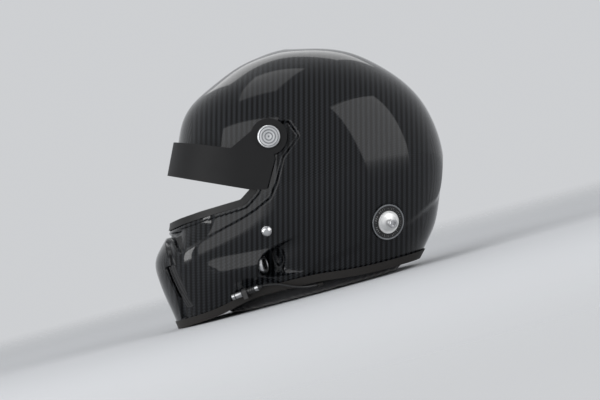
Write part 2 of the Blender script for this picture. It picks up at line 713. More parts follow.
    def depth(self, place: Array) -> Array:
        """How far each point of the form is sunk by the lip, the recess, the channels, the crease and the blister."""
        x, y, z = place.T
        lip = smoothstep((self.lip_width - self.eye.distance(x, z)) / self.lip_edge)
        softer = ramp(x, *self.softer_ramps[0]) * ramp(z, *self.softer_ramps[1])
        flank = self.recess_wall + self.softer_wall * softer
        recess = self.recess_depth * (1 + self.deeper_share * ramp(x, *self.deeper_ramp))
        recess = recess * smoothstep(-self.recess.distance(x, z) / flank) * (1 - lip)
        channel = self.channel_depth * smoothstep(-self.channel.distance(x, z) / self.channel_wall)
        below = self.crease.at(x)[:, 0] - z
        crease = self.crease_depth * ramp(x, *self.crease_ramp) * smoothstep(below / self.crease_wall)
        crease = crease * np.exp(-np.maximum(below - self.crease_wall, 0) / self.crease_fade)
        swell = ramp(x, *self.blister_ramps[0]) * (1 - ramp(x, *self.blister_ramps[1]))
        across = np.clip(1 - (self._off_blister(x, z) / self.blister_half) ** 2, 0, 1) ** 2
        blister = self.blister_rise * swell * across * (y < 0)
        return np.maximum(self.lip_depth * lip + recess, channel) + crease - blister

    def _off_blister(self, x: Array, z: Array) -> Array:
        """How far points are above the blister's middle line."""
        middle_x, middle_z = self.blister_middle
        return z - middle_z - self.blister_slope * (x - middle_x)

    def dressed(self, level: Array, turn: Array, inner: bool = False) -> Array:
        """Points of the outer or inner skin.

        Args:
            level: profile parameters.
            turn: turns round the form.
            inner: whether the inner skin is wanted.

        Returns:
            One point each, in millimetres.
        """
        place, depth = FORM.point(level, turn), self.depth(FORM.point(level, turn))
        if inner:
            depth = np.maximum(self.wall, depth + self.least_wall)
        place = place - FORM.normal(level, turn) * depth[:, None]
        grow = self.least_wall if inner else 0.0
        pad_level, seat_level = self._anchor_levels(inner)
        for centre, axis in self.anchors:
            rise, radius = off_axis(place, centre, axis)
            near = np.abs(rise) < self.anchor_reach
            pad = smoothstep((self.pad_radius + self.pad_blend / 2 - radius) / self.pad_blend) * near
            seat = self.seat_radius + grow + self.seat_gap
            sunk = pad_level + (seat_level - pad_level) * smoothstep((seat - radius) / self.seat_edge)
            goal = np.minimum(rise, np.where(radius < seat, np.minimum(pad_level, sunk), pad_level))
            place = place + ((goal - rise) * pad)[:, None] * axis
        return self._scooped(place, grow)

    def _anchor_levels(self, inner: bool) -> tuple[float, float]:
        """Heights along an anchor's axis, from its mount point, of the pad round it and of its seat."""
        seat = -sum(self.anchor_stack)
        deep = self.wall + self.pad_wall if inner else 0.0
        return seat + self.pad_rise - deep, seat - deep * self.seat_wall_share

    def _scooped(self, place: Array, grow: float) -> Array:
        """Presses points inside the scoop's cone across the helmet on to the cone's far wall."""
        seat = self.port_seat - self.port_axis * grow
        along, radius = off_axis(place, seat, self.port_axis)
        slope = (self.scoop_rear - self.scoop_front) / self.scoop_length
        wide = self.scoop_front + grow + slope * along
        hit = (wide > radius) & (along > 0) & (along < self.scoop_length) & (place[:, 1] < 0)
        if not hit.any():
            return place
        away, along, radius, wide = (place - seat)[hit], along[hit], radius[hit], wide[hit]
        side = self.port_axis[1]
        two = 1 - side**2 - (slope * side) ** 2
        one = 2 * (away[:, 1] - along * side - wide * slope * side)
        none = (away**2).sum(1) - along**2 - wide**2
        far = (-one + np.sqrt(np.maximum(one**2 - 4 * two * none, 0))) / (2 * two)
        fade = ramp(along, *self.scoop_ramps[0]) * (1 - ramp(along, *self.scoop_ramps[1]))
        push = np.zeros_like(place)
        push[hit, 1] = np.minimum(far, along / -side) * smoothstep((wide - radius) / self.scoop_edge) * fade
        return place + push

    def window(self, place: Array) -> Array:
        """Distances from the two vent windows in the chin's channels, negative inside."""
        x, y, z = place.T
        across = np.abs(np.abs(y) - self.window_middle[0]) - self.window_half[0] + self.window_corner
        upward = np.abs(z - self.window_middle[1]) - self.window_half[1] + self.window_corner
        outer = np.hypot(np.maximum(across, 0), np.maximum(upward, 0)) + np.minimum(np.maximum(across, upward), 0)
        return np.where(x < self.window_rear, outer - self.window_corner, FAR)

    def hole(self, place: Array) -> Array:
        """Distances from the nearest hole's edge, negative inside the hole."""
        return np.minimum(self.eye.distance(place[:, 0], place[:, 2]), self.window(place))

    def features(self, place: Array) -> Array:
        """Distances from the nearest line or area that needs a fine mesh in the outer skin."""
        x, y, z = place.T
        recess, channel = self.recess.distance(x, z), self.channel.distance(x, z)
        blister = (y < 0) & (x > self.blister_ramps[0][0]) & (x < self.blister_rear)
        blister &= np.abs(self._off_blister(x, z)) < self.blister_half
        lines = [self.eye.distance(x, z) - self.lip_width, recess, recess + self.recess_wall + self.recess_foot,
                 channel, channel + self.channel_wall, np.where(blister, 0.0, FAR),
                 np.where(x > self.crease_front, self.crease.at(x)[:, 0] - z, FAR)]
        return np.minimum(np.min(np.abs(lines), axis=0), self.edges(place))

    def edges(self, place: Array) -> Array:
        """Distances from the nearest hole, anchor seat or scoop, which need a fine mesh in both skins."""
        lines = [self.eye.distance(place[:, 0], place[:, 2]), self.window(place)]
        for centre, axis in self.anchors:
            near = np.linalg.norm(place - centre, axis=1) < 1.5 * self.anchor_reach
            lines.append(np.where(near, off_axis(place, centre, axis)[1] - self.seat_radius, FAR))
        along, radius = off_axis(place, self.port_seat, self.port_axis)
        in_scoop = (place[:, 1] < 0) & (radius < 2 * self.scoop_front)
        in_scoop &= (along > self.scoop_fine[0]) & (along < self.scoop_fine[1])
        lines.append(np.where(in_scoop, 0.0, FAR))
        return np.min(np.abs(lines), axis=0)

    def build(self) -> bpy.types.Object:
        """Meshes both skins on one grid, closes the rims and makes the shell a piece."""
        sheet, lining = self._sheets()
        used = sorted({v for p in sheet for v in p})
        index = {v: i for i, v in enumerate(used)}
        faces = [[index[v] for v in p] for p in sheet]
        rim = self._rim(faces)
        level, turn = self._snapped(*self._place_of(np.array(used)), rim)
        outer, inner = self.dressed(level, turn), self.dressed(level, turn, inner=True)
        crown = [i for v, i in index.items() if v >= self.tall * self.wide]
        poles = [[skin[crown, 0].mean(), 0, FORM.height - drop]
                 for skin, drop in ((outer, self.crown_drop), (inner, self.wall))]
        count, tops = len(used), set(crown)
        closed = [f[::-1] for f in faces] + [[index[v] + count for v in p] for p in lining]
        inside = [0] * len(faces) + [1] * len(lining)
        for a, b in rim:
            if a in tops and b in tops:
                closed += [[a, b, 2 * count], [b + count, a + count, 2 * count + 1]]
                inside += [0, 1]
            else:
                closed.append([a, b, b + count, a + count])
                inside.append(0)
        kept = sorted({v for f in closed for v in f})
        order = {v: i for i, v in enumerate(kept)}
        mesh = mesh_of("outer_shell", np.vstack([outer, inner, poles])[kept], [[order[v] for v in f] for f in closed])
        mesh.polygons.foreach_set("material_index", np.array(inside, np.int32))
        normals = vertex_arrays(mesh)[1]
        normals[:count] = self._normals(level, turn)
        mesh.normals_split_custom_set_from_vertices([tuple(n) for n in normals])
        return finished(mesh, "shell", [CARBON, LAMINATE], "outer_shell")

    def _base_levels(self) -> Array:
        """The profile parameter of the shell's lower edge at each turn."""
        first_height, rounds = 10.0, 6
        level = np.full(self.wide, float(FORM.level(first_height)))
        for _ in range(rounds):
            x = FORM.point(level, self.turns)[:, 0]
            level = FORM.level(self.base.at(x)[:, 0] + self.base_floor)
        return level

    def _place_of(self, ids: Array) -> tuple[Array, Array]:
        """The profile parameters and turns of points of the grid."""
        column, share = ids % self.wide, ids // self.wide / self.tall
        return self.lowest[column] + (1 - self.lowest[column]) * share, self.turns[column]

    def _sheets(self) -> tuple[list[list[int]], list[list[int]]]:
        """The polygons of the outer and the inner skin, of the grid's points, with their holes cut."""
        across, upward = (np.arange(n) * self.fine + self.fine // 2 for n in (self.columns, self.rows))
        middle = FORM.point(*self._place_of((across[None, :] + upward[:, None] * self.wide).ravel()))
        size = max(math.pi * FORM.width / self.columns, FORM.profile_length / self.rows)
        near, hollow = size * self.near_cells, -size * self.hollow_cells
        refined, lined, gone = (cells.reshape(self.rows, self.columns) for cells in (
            self.features(middle) < near, self.edges(middle) < near, self.hole(middle) < hollow))
        lined[[0, -1]] = refined[[0, -1]]
        return self._cut(self._polygons(refined, gone)), self._cut(self._polygons(lined, gone))

    def _polygons(self, refined: Array, gone: Array) -> list[list[int]]:
        """Quads of the fine cells, and one polygon for each coarse cell that takes in its neighbours' points."""
        k, polygons = self.fine, []
        for r, c in np.argwhere(~gone):
            x0, y0 = int(c) * k, int(r) * k
            if refined[r, c]:
                corners = [[(x0 + i, y0 + j), (x0 + i + 1, y0 + j), (x0 + i + 1, y0 + j + 1), (x0 + i, y0 + j + 1)]
                           for j in range(k) for i in range(k)]
            else:
                below, right = r > 0 and refined[r - 1, c], refined[r, (c + 1) % self.columns]
                above, left = r < self.rows - 1 and refined[r + 1, c], refined[r, c - 1]
                corners = [[(x0 + i, y0) for i in range(k if below else 1)]
                           + [(x0 + k, y0 + j) for j in range(k if right else 1)]
                           + [(x0 + k - i, y0 + k) for i in range(k if above else 1)]
                           + [(x0, y0 + k - j) for j in range(k if left else 1)]]
            polygons += [[x % self.wide + y * self.wide for x, y in ring] for ring in corners]
        return polygons

    def _cut(self, polygons: list[list[int]]) -> list[list[int]]:
        """Leaves out the polygons whose middle lies in a hole."""
        ends = (np.array([p[0] for p in polygons]), np.array([p[len(p) // 2] for p in polygons]))
        middle = sum(FORM.point(*self._place_of(ids)) for ids in ends) / 2
        return [p for p, keep in zip(polygons, self.hole(middle) > 0) if keep]

    @staticmethod
    def _rim(faces: list[list[int]]) -> list[tuple[int, int]]:
        """The open edges of a sheet, in the direction of their faces."""
        edges = {}
        for face in faces:
            for a, b in zip(face, face[1:] + face[:1]):
                if (b, a) in edges:
                    del edges[(b, a)]
                else:
                    edges[(a, b)] = True
        return list(edges)

    def _snapped(self, level: Array, turn: Array, rim: list[tuple[int, int]]) -> tuple[Array, Array]:
        """Moves the holes' rim points along the form on to the holes' true edges.

        Args:
            level: profile parameters of all points.
            turn: turns of all points.
            rim: the open edges, whose points may move.

        Returns:
            The new profile parameters and turns.
        """
        reach, clear, stride, step, least_slope, rounds = 4.5, 3.0, 2.5, 1e-4, 0.05, 5
        ids = np.array(sorted({v for edge in rim for v in edge}))
        here = FORM.point(level[ids], turn[ids])
        off_base = np.abs(here[:, 2] - self.base.at(here[:, 0])[:, 0])
        ids = ids[(np.abs(self.hole(here)) < reach) & (off_base > clear)]
        for _ in range(rounds):
            here = FORM.point(level[ids], turn[ids])
            miss = self.hole(here)
            upward, round_it = FORM.point(level[ids] + step, turn[ids]), FORM.point(level[ids], turn[ids] + step)
            rise, run = (np.linalg.norm(moved - here, axis=1) / step for moved in (upward, round_it))
            slopes = (self.hole(upward) - miss) / step / rise, (self.hole(round_it) - miss) / step / run
            steep = np.maximum(slopes[0] ** 2 + slopes[1] ** 2, least_slope)
            level[ids] -= np.clip(miss * slopes[0] / steep, -stride, stride) / rise
            turn[ids] -= np.clip(miss * slopes[1] / steep, -stride, stride) / run
        return level, turn

    def _normals(self, level: Array, turn: Array) -> Array:
        """Outward normals of the dressed outer skin."""
        step = self.normal_step / FORM.profile_length
        around = self.dressed(level, turn + 2 * step) - self.dressed(level, turn - 2 * step)
        up = self.dressed(np.minimum(level + step, 1), turn) - self.dressed(level - step, turn)
        out = np.cross(up, around)
        return out / np.maximum(np.linalg.norm(out, axis=-1, keepdims=True), 1e-9)


@dataclass
class Studio:
    """The camera at the photograph's angle, a pale floor and soft lamps. Sizes in millimetres."""

    tilt_deg: float = 15.0
    frame_width: float = 678.0
    centre_x: float = 4.0
    centre_z: float = 104.9
    distance: float = 3200.0
    far_clip_m: float = 40.0
    floor_radius_m: float = 2.4
    floor_fade_m: tuple = (0.5, 2.2)
    surround: str = "F4F6F9"
    surround_lights: float = 0.3
    surround_seen: float = 0.68
    target_m: Point = (0.0, 0.0, 0.12)

    def build(self) -> None:
        """Makes the camera, the floor, the world and the lamps."""
        lens = bpy.data.cameras.new("camera")
        camera = placed("camera", lens)
        lens.lens = lens.sensor_width * self.distance / self.frame_width
        tilt = math.radians(self.tilt_deg)
        right = Vector((math.cos(tilt), 0, -math.sin(tilt)))
        up = Vector((math.sin(tilt), 0, math.cos(tilt)))
        back = Vector((0, -1, 0))
        at = Vector((self.centre_x, 0, self.centre_z)) + back * self.distance
        camera.matrix_world = Matrix.Translation(at * MM) @ Matrix((right, up, back)).transposed().to_4x4()
        lens.clip_end = self.far_clip_m
        bpy.context.scene.camera = camera
        bpy.context.scene.view_settings.view_transform = "Standard"
        self._floor()
        self._world()
        self._lamps()

    def _floor(self) -> None:
        """A pale floor under the helmet, which fades into the surround."""
        bpy.ops.mesh.primitive_circle_add(vertices=96, radius=self.floor_radius_m, fill_type="NGON")
        floor = bpy.context.object
        floor.name = "floor"
        paint = FLOOR_PAINT.material()
        tree = paint.node_tree
        away = vectors(tree, "LENGTH", add_node(tree, "ShaderNodeTexCoord").outputs["Object"])
        fade = mapped(tree, away, self.floor_fade_m, (1.0, 0.0), interpolation_type="SMOOTHSTEP")
        tree.links.new(fade, tree.nodes["Principled BSDF"].inputs["Alpha"])
        floor.data.materials.append(paint)

    def _world(self) -> None:
        """A pale surround that the camera and the gloss see, and a softer one that lights the helmet."""
        world = bpy.data.worlds.new("surround")
        bpy.context.scene.world = world
        world.use_nodes = True
        tree = world.node_tree
        rays = add_node(tree, "ShaderNodeLightPath").outputs
        seen = maths(tree, "MAXIMUM", rays["Is Camera Ray"], rays["Is Glossy Ray"])
        seen = maths(tree, "MAXIMUM", seen, rays["Is Transmission Ray"])
        back = tree.nodes["Background"]
        back.inputs["Color"].default_value = linear(self.surround)
        strength = mapped(tree, seen, (0, 1), (self.surround_lights, self.surround_seen))
        tree.links.new(strength, back.inputs["Strength"])

    def _lamps(self) -> None:
        """Soft boxes: two broad ones at the side, a strip before the face, one overhead and one on the far side."""
        lamps = (("rear_box", (1.6, -1.1, 0.6), (1.7, 2.0), 25.0),
                 ("front_box", (-1.2, -1.55, 0.75), (1.9, 2.0), 27.0),
                 ("face_strip", (-2.0, -0.6, 0.35), (0.35, 1.2), 12.0),
                 ("top_box", (-0.2, 0.1, 2.0), (1.2, 0.8), 4.0),
                 ("far_box", (0.2, 1.9, 1.6), (1.6, 1.0), 6.0))
        for name, at, size, power in lamps:
            light = bpy.data.lights.new(name, "AREA")
            light.shape = "RECTANGLE"
            light.size, light.size_y = size
            light.energy = power
            lamp = placed(name, light)
            lamp.location = at
            lamp.rotation_euler = (Vector(self.target_m) - Vector(at)).to_track_quat("-Z", "Y").to_euler()


@dataclass
class RadioLead:
    """The radio lead, as one smooth cord along the same points as its solid, in millimetres."""

    diameter: float = 2.4
    length: float = 61.7
    route: tuple = ((-1.6, -98.5, 10.4), (-8.0, -101.5, 10.4), (-17.0, -105.4, 11.8), (-27.0, -106.0, 15.0),
                    (-38.0, -105.8, 20.2), (-49.0, -105.9, 24.3), (-59.5, -106.6, 24.9))

    def build(self) -> None:
        """Makes the cord and dresses the pieces on it."""
        line = bpy.data.curves.new("radio_lead", "CURVE")
        line.dimensions = "3D"
        line.bevel_depth = self.diameter / 2 * MM
        line.bevel_resolution = 6
        line.resolution_u = 16
        line.use_fill_caps = True
        spline = line.splines.new("NURBS")
        spline.points.add(len(self.route) - 1)
        for point, at in zip(spline.points, self.route):
            point.co = (*(c * MM for c in at), 1.0)
        spline.order_u = 3
        spline.use_endpoint_u = True
        line.materials.append(JACKET.material())
        piece = placed("radio_lead", line)
        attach(piece, ROOT)
        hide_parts("lead")
        connector = LeadConnector().build()
        LOG.info("radio_lead: a cord of %.1f mm", self.length)


class Row:
    """Small marks in a row along a line, laid by Geometry Nodes."""

    def __init__(self) -> None:
        """Builds the node group: a line's mesh goes in, and one mark at each step along it comes out."""
        group = bpy.data.node_groups.new("marks_along_a_line", "GeometryNodeTree")
        face = group.interface
        for name, kind, way in (("Line", "NodeSocketGeometry", "INPUT"), ("Step", "NodeSocketFloat", "INPUT"),
                                ("Size", "NodeSocketVector", "INPUT"), ("Finish", "NodeSocketMaterial", "INPUT"),
                                ("Marks", "NodeSocketGeometry", "OUTPUT")):
            face.new_socket(name, in_out=way, socket_type=kind)
        given = add_node(group, "NodeGroupInput").outputs
        line = add_node(group, "GeometryNodeMeshToCurve", {"Mesh": given["Line"]})
        steps = add_node(group, "GeometryNodeResampleCurve", {"Curve": line.outputs["Curve"], "Length": given["Step"]},
                         mode="LENGTH")
        tangent = add_node(group, "GeometryNodeInputTangent")
        turned = add_node(group, "FunctionNodeAlignRotationToVector", {"Vector": tangent.outputs["Tangent"]}, axis="X")
        block = add_node(group, "GeometryNodeMeshUVSphere", {"Segments": 8, "Rings": 5, "Radius": 0.5})
        copies = add_node(group, "GeometryNodeInstanceOnPoints",
                          {"Points": steps.outputs["Curve"], "Instance": block.outputs["Mesh"],
                           "Rotation": turned.outputs["Rotation"], "Scale": given["Size"]})
        real = add_node(group, "GeometryNodeRealizeInstances", {"Geometry": copies.outputs["Instances"]})
        coated = add_node(group, "GeometryNodeSetMaterial", {"Geometry": real.outputs["Geometry"],
                                                             "Material": given["Finish"]})
        add_node(group, "NodeGroupOutput", {"Marks": coated.outputs["Geometry"]})
        self.group = group

    def lay(self, name: str, lines: Sequence[Array], step_mm: float, size_mm: Point, finish: Finish,
            near: str) -> bpy.types.Object:
        """Lays one piece of marks along lines.

        Args:
            name: the piece's name.
            lines: each line's points, in millimetres.
            step_mm: the distance from mark to mark.
            size_mm: a mark's length, width and height.
            finish: the marks' finish.
            near: the node whose body and slot the marks take.

        Returns:
            The piece.
        """
        mesh = bpy.data.meshes.new(name + "_lines")
        points, edges = [], []
        for line in lines:
            start = len(points)
            points += [tuple(float(c) * MM for c in p) for p in line]
            edges += [(start + i, start + i + 1) for i in range(len(line) - 1)]
        mesh.from_pydata(points, edges, [])
        carrier = placed(name + "_lines", mesh)
        modifier = carrier.modifiers.new("marks", "NODES")
        modifier.node_group = self.group
        values = {"Step": step_mm * MM, "Size": tuple(c * MM for c in size_mm), "Finish": finish.material()}
        for item in self.group.interface.items_tree:
            if item.in_out == "INPUT" and item.name in values:
                modifier[item.identifier] = values[item.name]
        carrier.update_tag()
        marks = evaluated_mesh(carrier)
        marks.name = name
        bpy.data.objects.remove(carrier)
        marks.shade_smooth()
        return finished(marks, name, [finish], near=near)


@dataclass(frozen=True)
class Machined:
    """A rigid piece: its solid's own form, with its edges broken as on the real piece.

    Args:
        node: the CAD node that it stands for.
        finish: its finish.
        edge_mm: the width of its broken edges.
    """

    node: str
    finish: Finish
    edge_mm: float = 0.2

    def build(self) -> None:
        """Merges a copy of the solid, and breaks its edges."""
        piece = finished(merged_copy(self.node), f"{self.node}_piece", [self.finish], self.node)
        break_edges(piece, self.edge_mm)


def break_edges(piece: bpy.types.Object, edge_mm: float) -> None:
    """Bevels a piece's sharp edges."""
    bevel = piece.modifiers.new("broken_edges", "BEVEL")
    bevel.width = edge_mm * MM
    bevel.segments = 2
    bevel.limit_method = "ANGLE"
    bevel.angle_limit = math.radians(SHARP_DEG)
    bevel.harden_normals = True
    bevel.use_clamp_overlap = True


def merged_copy(node: str) -> bpy.types.Mesh:
    """A copy of a node's mesh, with its loose triangles joined and its flat parts cleared of needless edges."""
    mesh = frame["nodes"][node].data.copy()
    mesh.name = node + "_form"
    with reworked(mesh) as work:
        bmesh.ops.remove_doubles(work, verts=work.verts, dist=0.003 * MM)
        bmesh.ops.dissolve_limit(work, angle_limit=math.radians(0.5), verts=work.verts, edges=work.edges)
        shade(work, SHARP_DEG)
    if mesh.has_custom_normals:
        mesh.attributes.remove(mesh.attributes["custom_normal"])
    return mesh


def repainted(node: str, finish: Finish) -> bpy.types.Object:
    """Gives a CAD node that stays as it is its finish."""
    piece = frame["nodes"][node]
    piece.data.materials.clear()
    piece.data.materials.append(finish.material())
    return piece


@dataclass(frozen=True)
class Turned:
    """A lathe-turned form: a closed profile swept round an axis.

    Args:
        profile: (radius, height, finish number) at each corner, from the axis at the top to the axis at the bottom.
        parts: how many steps it has round.
    """

    profile: tuple
    parts: int = 64

    def cut(self, centre: Point, axis: Vector, start: int = 0) -> tuple[list, list, list]:
        """The form's points in millimetres, its faces numbered from a start, and their finishes."""
        right = axis.orthogonal().normalized()
        up = axis.cross(right)
        middle = Vector(centre)
        points, faces, finishes = [], [], []
        rings: list[list[int]] = []
        for radius, height, _ in self.profile:
            at = middle + axis * height
            count = self.parts if radius > 0 else 1
            rings.append([start + len(points) + k for k in range(count)])
            for k in range(count):
                turn = 2 * math.pi * k / self.parts
                points.append(tuple(at + (right * math.cos(turn) + up * math.sin(turn)) * radius))
        for ring, after, (_, _, finish) in zip(rings, rings[1:], self.profile[1:]):
            for k in range(self.parts):
                quad = [ring[k % len(ring)], ring[(k + 1) % len(ring)], after[(k + 1) % len(after)],
                        after[k % len(after)]]
                faces.append(list(dict.fromkeys(quad)))
                finishes.append(finish)
        return points, faces, finishes


def turned_piece(name: str, forms: Sequence[tuple[Turned, Point, Vector]], finishes: Sequence[Finish],
                 *nodes: str) -> bpy.types.Object:
    """Makes one piece of several turned forms.

    Args:
        name: the piece's name.
        forms: each form with its place in millimetres and its axis.
        finishes: the finishes that the profiles number.
        *nodes: the nodes that it stands for.

    Returns:
        The piece.
    """
    points, faces, numbers = [], [], []
    for form, centre, axis in forms:
        own_points, own_faces, own_numbers = form.cut(centre, axis, len(points))
        points += own_points
        faces += own_faces
        numbers += own_numbers
    mesh = mesh_of(name, points, faces)
    mesh.polygons.foreach_set("material_index", np.array(numbers, np.int32))
    outward(mesh, TURNED_SHARP_DEG)
    return finished(mesh, name, finishes, *nodes)


@dataclass(frozen=True)
class PivotScrews:
    """The peak's two pivot screws, whose heads show the rings of their turning."""

    head: tuple = ((0.0, 2.5, 1), (1.1, 2.5, 1), (1.4, 2.9, 0), (3.4, 3.0, 0), (3.6, 2.4, 1), (4.6, 2.4, 1),
                   (4.8, 3.0, 0), (6.6, 3.05, 0), (6.8, 2.5, 1), (7.8, 2.5, 1), (8.0, 3.05, 0), (9.9, 3.0, 0),
                   (10.1, 2.65, 1), (10.7, 2.65, 1), (10.9, 2.95, 0), (11.8, 2.8, 0), (12.4, 2.1, 0), (12.4, 0.0, 0),
                   (2.5, 0.0, 0))
    head_height: float = 3.2
    face_band: float = 1.0
    shank_radius: float = 2.5

    def build(self) -> None:
        """Turns both screws, each as long as its solid."""
        points = vertex_arrays(frame["nodes"]["pivot_screws"].data)[0] / MM
        forms = []
        for side in (-1, 1):
            own = points[points[:, 1] * side > 0]
            tip, top = float(np.abs(own[:, 1]).min()), float(np.abs(own[:, 1]).max())
            head = own[np.abs(own[:, 1]) > top - self.face_band]
            middle = (head.min(0) + head.max(0)) / 2
            seat = top - self.head_height
            shank = ((self.shank_radius, tip - seat, 0), (0.0, tip - seat, 0))
            forms.append((Turned(self.head + shank), (middle[0], side * seat, middle[2]), Vector((0, side, 0))))
        turned_piece("pivot_screws_turned", forms, [ALUMINIUM, GREY_ALUMINIUM], "pivot_screws")


@dataclass(frozen=True)
class PortSocket:
    """The drink coupling's socket: a black barrel with a bright, rounded mouth, on a flange and a hollow stem."""

    profile: tuple = ((2.3, -14.0, 1), (2.3, 2.5, 1), (6.2, 2.5, 1), (6.2, 10.3, 1), (6.5, 10.8, 0), (7.2, 11.0, 0),
                      (8.2, 10.9, 0), (9.2, 10.4, 0), (9.8, 9.5, 0), (10.0, 8.4, 0), (10.0, 6.6, 0), (9.5, 6.3, 1),
                      (9.5, 5.4, 1), (10.0, 5.1, 1), (10.0, 1.5, 1), (12.6, 1.5, 0), (13.0, 1.1, 0), (13.0, 0.0, 1),
                      (4.5, 0.0, 1), (4.5, -14.0, 1), (2.3, -14.0, 1))

    def build(self, seat: Array, axis: Array) -> bpy.types.Object:
        """Turns the socket on its seat."""
        return turned_piece("port_socket_turned", [(Turned(self.profile, 72), tuple(seat), Vector(axis))],
                            [ALUMINIUM, BLACK_ANODISED], "port_socket")


@dataclass(frozen=True)
class ValveSpring:
    """The valve's spring, which shortens as the poppet is pushed in by its travel."""

    travel: float = 1.6

    def build(self, seat: Array, axis: Array) -> None:
        """Finds the spring's two ends along the socket's axis, and holds it at the inner one."""
        spring = repainted("port_spring", POLISHED)
        along = (vertex_arrays(spring.data)[0] / MM - seat) @ axis
        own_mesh(spring)


@dataclass(frozen=True)
class LeadConnector:
    """The lead's inline connector: a black ribbed grip between two silver collars, with its socket's mouth."""

    jack_rise: float = 4.5
    first_rib: float = -12.4
    rib_pitch: float = 2.6
    rib_count: int = 6

    def build(self) -> bpy.types.Object:
        """Turns the connector along its solid's axis."""
        middle, axis = (Vector(line) for line in mount_line("radio_socket"))
        mouth = middle + axis * self.jack_rise
        ribs = [(radius, self.first_rib - self.rib_pitch * k - down, 1) for k in range(self.rib_count)
                for radius, down in ((3.6, 0.0), (3.6, 1.4), (3.05, 1.7), (3.05, 2.4))]
        profile = ((0.0, -9.0, 1), (2.4, -9.0, 1), (2.4, -0.2, 1), (2.7, 0.0, 0), (3.2, -0.3, 0), (3.2, -3.4, 0),
                   (2.95, -3.6, 1), (2.95, -4.4, 1), (3.3, -4.6, 0), (3.3, -11.6, 0), (3.1, -12.0, 1),
                   *ribs, (3.3, -29.0, 0), (3.3, -31.6, 0), (2.9, -32.0, 1), (2.4, -33.0, 1), (0.0, -33.0, 1))
        return turned_piece("lead_connector_turned", [(Turned(profile, 40), tuple(mouth), axis)],
                            [SATIN_STEEL, MOULDED], "lead_connector")


class Sewing(Enum):
    """Where a pad's seams run."""

    NONE = "none"
    QUILTED = "quilted"
    EDGE = "edge"
    ROLL = "roll"


@dataclass(frozen=True)
class Seams:
    """Where the covers' seams run, in millimetres. A draw is the depth and the width of a seam's furrow.

    Args:
        quilt_y: the sides of the quilting's lines along the crown; the outer ones stop at quilt_floor.
        quilt_x: the places of its lines across the crown.
        quilt_floor: the height at which the outer lines stop.
        quilt_draw: the quilting's draw.
        edges: the height, depth and width of each seam of a cheek pad.
        roll: the height, depth and width of the neck roll's seam.
        folds: the depth and the number of the roll's folds under that seam, and how much and how often they waver.
        fold_top: the height at which the folds begin.
        fold_run: how far down they take to grow to their depth.
    """

    quilt_y: tuple = (26.0, 58.0)
    quilt_x: tuple = (34.0, 92.0)
    quilt_floor: float = 120.0
    quilt_draw: tuple = (2.0, 2.0)
    edges: tuple = ((96.0, 1.6, 1.6), (30.0, 1.2, 1.6))
    roll: tuple = (15.0, 1.5, 1.2)
    folds: tuple = (0.35, 46, 3, 7)
    fold_top: float = 12.0
    fold_run: float = 6.0

    def depth(self, sewing: Sewing, place: Array) -> Array:
        """How deep the seams of one kind draw each point in."""
        x, y, z = place.T
        if sewing is Sewing.QUILTED:
            inner, outer = (np.abs(np.abs(y) - side) for side in self.quilt_y)
            lines = [inner, outer + FAR * (z < self.quilt_floor), *(np.abs(x - at) for at in self.quilt_x)]
            return self._furrow(np.min(lines, axis=0), *self.quilt_draw)
        if sewing is Sewing.EDGE:
            return sum(self._furrow(z - height, *draw) for height, *draw in self.edges)
        if sewing is Sewing.ROLL:
            turn, (deep, count, waver, times) = np.arctan2(y, x), self.folds
            folds = deep * (1 + np.sin(count * turn + waver * np.sin(times * turn)))
            height, *draw = self.roll
            return self._furrow(z - height, *draw) + folds * np.clip((self.fold_top - z) / self.fold_run, 0, 1)
        return np.zeros(len(place))

    @staticmethod
    def _furrow(away: Array, depth: float, width: float) -> Array:
        """How deep one seam draws in points at distances from it."""
        return depth * np.exp(-((away / width) ** 2))


